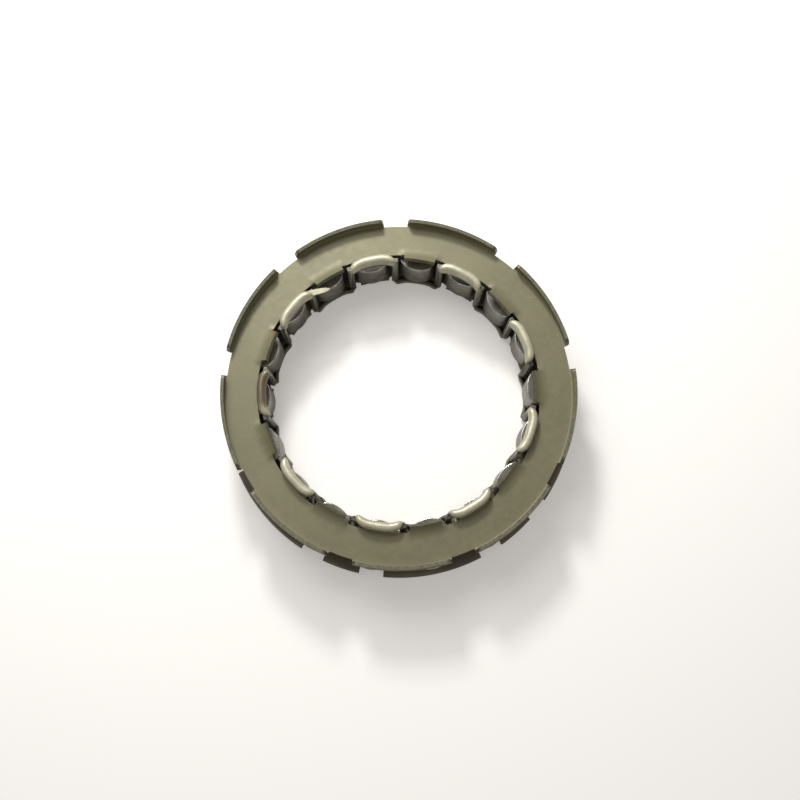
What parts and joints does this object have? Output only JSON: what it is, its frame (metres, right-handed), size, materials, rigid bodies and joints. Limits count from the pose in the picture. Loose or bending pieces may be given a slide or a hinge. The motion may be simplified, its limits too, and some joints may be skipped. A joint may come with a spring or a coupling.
{
  "type": "sprag clutch",
  "caption": "Ring-shaped sprag clutch insert: tilting sprags in a windowed inner and outer cage between two tabbed sheet steel end rings.",
  "frame": {"origin": "on the clutch axis, level with the free edges of the lower tabs", "axes": "+Z along the clutch axis, from the lower end ring to the upper one; +X through the middle of sprag 01, angles counted anticlockwise seen from +Z"},
  "size_m": [0.063, 0.0632, 0.013],
  "materials": {
    "phosphated_steel": "olive phosphate, matt satin",
    "dark_phosphated_steel": "dark brown phosphate, matt",
    "bright_steel": "rolled satin",
    "spring_steel": "rolled",
    "hardened_steel": "hardened and ground"
  },
  "bodies": {
    "end_rings": {"upper_end_ring": "phosphated_steel", "lower_end_ring": "dark_phosphated_steel", "outer_cage": "dark_phosphated_steel", "ribbon_spring": "spring_steel"},
    "inner_cage": {"inner_cage": "bright_steel"},
    "sprag_01": {"sprag_01": "hardened_steel"},
    "sprag_02": {"sprag_02": "hardened_steel"},
    "sprag_03": {"sprag_03": "hardened_steel"},
    "sprag_04": {"sprag_04": "hardened_steel"},
    "sprag_05": {"sprag_05": "hardened_steel"},
    "sprag_06": {"sprag_06": "hardened_steel"},
    "sprag_07": {"sprag_07": "hardened_steel"},
    "sprag_08": {"sprag_08": "hardened_steel"},
    "sprag_09": {"sprag_09": "hardened_steel"},
    "sprag_10": {"sprag_10": "hardened_steel"},
    "sprag_11": {"sprag_11": "hardened_steel"},
    "sprag_12": {"sprag_12": "hardened_steel"},
    "sprag_13": {"sprag_13": "hardened_steel"},
    "sprag_14": {"sprag_14": "hardened_steel"},
    "sprag_15": {"sprag_15": "hardened_steel"},
    "sprag_16": {"sprag_16": "hardened_steel"},
    "sprag_17": {"sprag_17": "hardened_steel"},
    "sprag_18": {"sprag_18": "hardened_steel"}
  },
  "joints": [
    {"name": "sprag_01_tilt", "type": "hinge", "parent": "end_rings", "child": "sprag_01", "pos_m": [0.0276, 0, 0.0065], "axis": [0, 0, 1], "range_deg": [-3, 7], "stiffness_Nm_per_rad": 0.02},
    {"name": "sprag_02_tilt", "type": "hinge", "parent": "end_rings", "child": "sprag_02", "pos_m": [0.02594, 0.00944, 0.0065], "axis": [0, 0, 1], "range_deg": [-3, 7], "stiffness_Nm_per_rad": 0.02},
    {"name": "sprag_03_tilt", "type": "hinge", "parent": "end_rings", "child": "sprag_03", "pos_m": [0.02114, 0.01774, 0.0065], "axis": [0, 0, 1], "range_deg": [-3, 7], "stiffness_Nm_per_rad": 0.02},
    {"name": "sprag_04_tilt", "type": "hinge", "parent": "end_rings", "child": "sprag_04", "pos_m": [0.0138, 0.0239, 0.0065], "axis": [0, 0, 1], "range_deg": [-3, 7], "stiffness_Nm_per_rad": 0.02},
    {"name": "sprag_05_tilt", "type": "hinge", "parent": "end_rings", "child": "sprag_05", "pos_m": [0.00479, 0.02718, 0.0065], "axis": [0, 0, 1], "range_deg": [-3, 7], "stiffness_Nm_per_rad": 0.02},
    {"name": "sprag_06_tilt", "type": "hinge", "parent": "end_rings", "child": "sprag_06", "pos_m": [-0.00479, 0.02718, 0.0065], "axis": [0, 0, 1], "range_deg": [-3, 7], "stiffness_Nm_per_rad": 0.02},
    {"name": "sprag_07_tilt", "type": "hinge", "parent": "end_rings", "child": "sprag_07", "pos_m": [-0.0138, 0.0239, 0.0065], "axis": [0, 0, 1], "range_deg": [-3, 7], "stiffness_Nm_per_rad": 0.02},
    {"name": "sprag_08_tilt", "type": "hinge", "parent": "end_rings", "child": "sprag_08", "pos_m": [-0.02114, 0.01774, 0.0065], "axis": [0, 0, 1], "range_deg": [-3, 7], "stiffness_Nm_per_rad": 0.02},
    {"name": "sprag_09_tilt", "type": "hinge", "parent": "end_rings", "child": "sprag_09", "pos_m": [-0.02594, 0.00944, 0.0065], "axis": [0, 0, 1], "range_deg": [-3, 7], "stiffness_Nm_per_rad": 0.02},
    {"name": "sprag_10_tilt", "type": "hinge", "parent": "end_rings", "child": "sprag_10", "pos_m": [-0.0276, 0, 0.0065], "axis": [0, 0, 1], "range_deg": [-3, 7], "stiffness_Nm_per_rad": 0.02},
    {"name": "sprag_11_tilt", "type": "hinge", "parent": "end_rings", "child": "sprag_11", "pos_m": [-0.02594, -0.00944, 0.0065], "axis": [0, 0, 1], "range_deg": [-3, 7], "stiffness_Nm_per_rad": 0.02},
    {"name": "sprag_12_tilt", "type": "hinge", "parent": "end_rings", "child": "sprag_12", "pos_m": [-0.02114, -0.01774, 0.0065], "axis": [0, 0, 1], "range_deg": [-3, 7], "stiffness_Nm_per_rad": 0.02},
    {"name": "sprag_13_tilt", "type": "hinge", "parent": "end_rings", "child": "sprag_13", "pos_m": [-0.0138, -0.0239, 0.0065], "axis": [0, 0, 1], "range_deg": [-3, 7], "stiffness_Nm_per_rad": 0.02},
    {"name": "sprag_14_tilt", "type": "hinge", "parent": "end_rings", "child": "sprag_14", "pos_m": [-0.00479, -0.02718, 0.0065], "axis": [0, 0, 1], "range_deg": [-3, 7], "stiffness_Nm_per_rad": 0.02},
    {"name": "sprag_15_tilt", "type": "hinge", "parent": "end_rings", "child": "sprag_15", "pos_m": [0.00479, -0.02718, 0.0065], "axis": [0, 0, 1], "range_deg": [-3, 7], "stiffness_Nm_per_rad": 0.02},
    {"name": "sprag_16_tilt", "type": "hinge", "parent": "end_rings", "child": "sprag_16", "pos_m": [0.0138, -0.0239, 0.0065], "axis": [0, 0, 1], "range_deg": [-3, 7], "stiffness_Nm_per_rad": 0.02},
    {"name": "sprag_17_tilt", "type": "hinge", "parent": "end_rings", "child": "sprag_17", "pos_m": [0.02114, -0.01774, 0.0065], "axis": [0, 0, 1], "range_deg": [-3, 7], "stiffness_Nm_per_rad": 0.02},
    {"name": "sprag_18_tilt", "type": "hinge", "parent": "end_rings", "child": "sprag_18", "pos_m": [0.02594, -0.00944, 0.0065], "axis": [0, 0, 1], "range_deg": [-3, 7], "stiffness_Nm_per_rad": 0.02},
    {"name": "inner_cage_phase", "type": "hinge", "parent": "end_rings", "child": "inner_cage", "pos_m": [0, 0, 0.0065], "axis": [0, 0, 1], "range_deg": [-1.4, 0.6]}
  ],
  "couplings": [
    {"joint": "sprag_02_tilt", "follows": "sprag_01_tilt", "ratio": 1},
    {"joint": "sprag_03_tilt", "follows": "sprag_01_tilt", "ratio": 1},
    {"joint": "sprag_04_tilt", "follows": "sprag_01_tilt", "ratio": 1},
    {"joint": "sprag_05_tilt", "follows": "sprag_01_tilt", "ratio": 1},
    {"joint": "sprag_06_tilt", "follows": "sprag_01_tilt", "ratio": 1},
    {"joint": "sprag_07_tilt", "follows": "sprag_01_tilt", "ratio": 1},
    {"joint": "sprag_08_tilt", "follows": "sprag_01_tilt", "ratio": 1},
    {"joint": "sprag_09_tilt", "follows": "sprag_01_tilt", "ratio": 1},
    {"joint": "sprag_10_tilt", "follows": "sprag_01_tilt", "ratio": 1},
    {"joint": "sprag_11_tilt", "follows": "sprag_01_tilt", "ratio": 1},
    {"joint": "sprag_12_tilt", "follows": "sprag_01_tilt", "ratio": 1},
    {"joint": "sprag_13_tilt", "follows": "sprag_01_tilt", "ratio": 1},
    {"joint": "sprag_14_tilt", "follows": "sprag_01_tilt", "ratio": 1},
    {"joint": "sprag_15_tilt", "follows": "sprag_01_tilt", "ratio": 1},
    {"joint": "sprag_16_tilt", "follows": "sprag_01_tilt", "ratio": 1},
    {"joint": "sprag_17_tilt", "follows": "sprag_01_tilt", "ratio": 1},
    {"joint": "sprag_18_tilt", "follows": "sprag_01_tilt", "ratio": 1},
    {"joint": "inner_cage_phase", "follows": "sprag_01_tilt", "ratio": -0.2}
  ]
}
